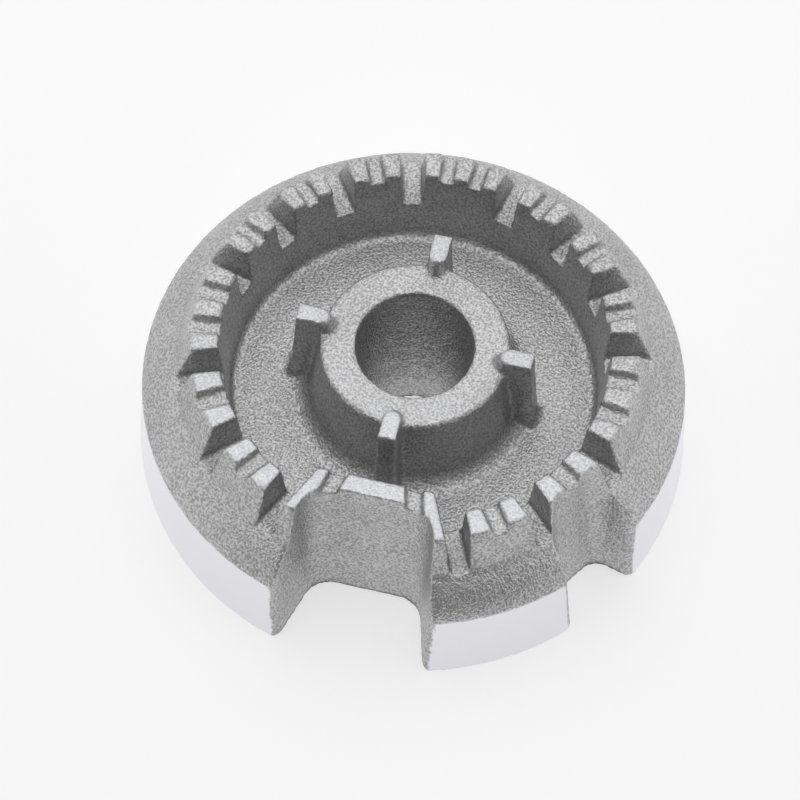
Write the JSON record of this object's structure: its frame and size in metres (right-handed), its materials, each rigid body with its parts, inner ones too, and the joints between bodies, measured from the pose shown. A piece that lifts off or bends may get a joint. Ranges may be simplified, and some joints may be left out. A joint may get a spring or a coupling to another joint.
{
  "type": "gas hob burner head",
  "caption": "Round cast aluminium gas burner head with a crown of slotted flame-port teeth, a ribbed central throat, and two recesses cut into its rim.",
  "frame": {"origin": "centre of the throat's inlet, in the plane of the rim's foot", "axes": "+Z along the throat towards the teeth, -Y through the middle of the wide recess, the ribs lie along X and Y"},
  "size_m": [0.0756, 0.0739, 0.0266],
  "materials": {
    "burner_head": "shot-blasted cast surface with a turned rim"
  },
  "bodies": {
    "root": {"burner_head": "burner_head"}
  },
  "joints": []
}
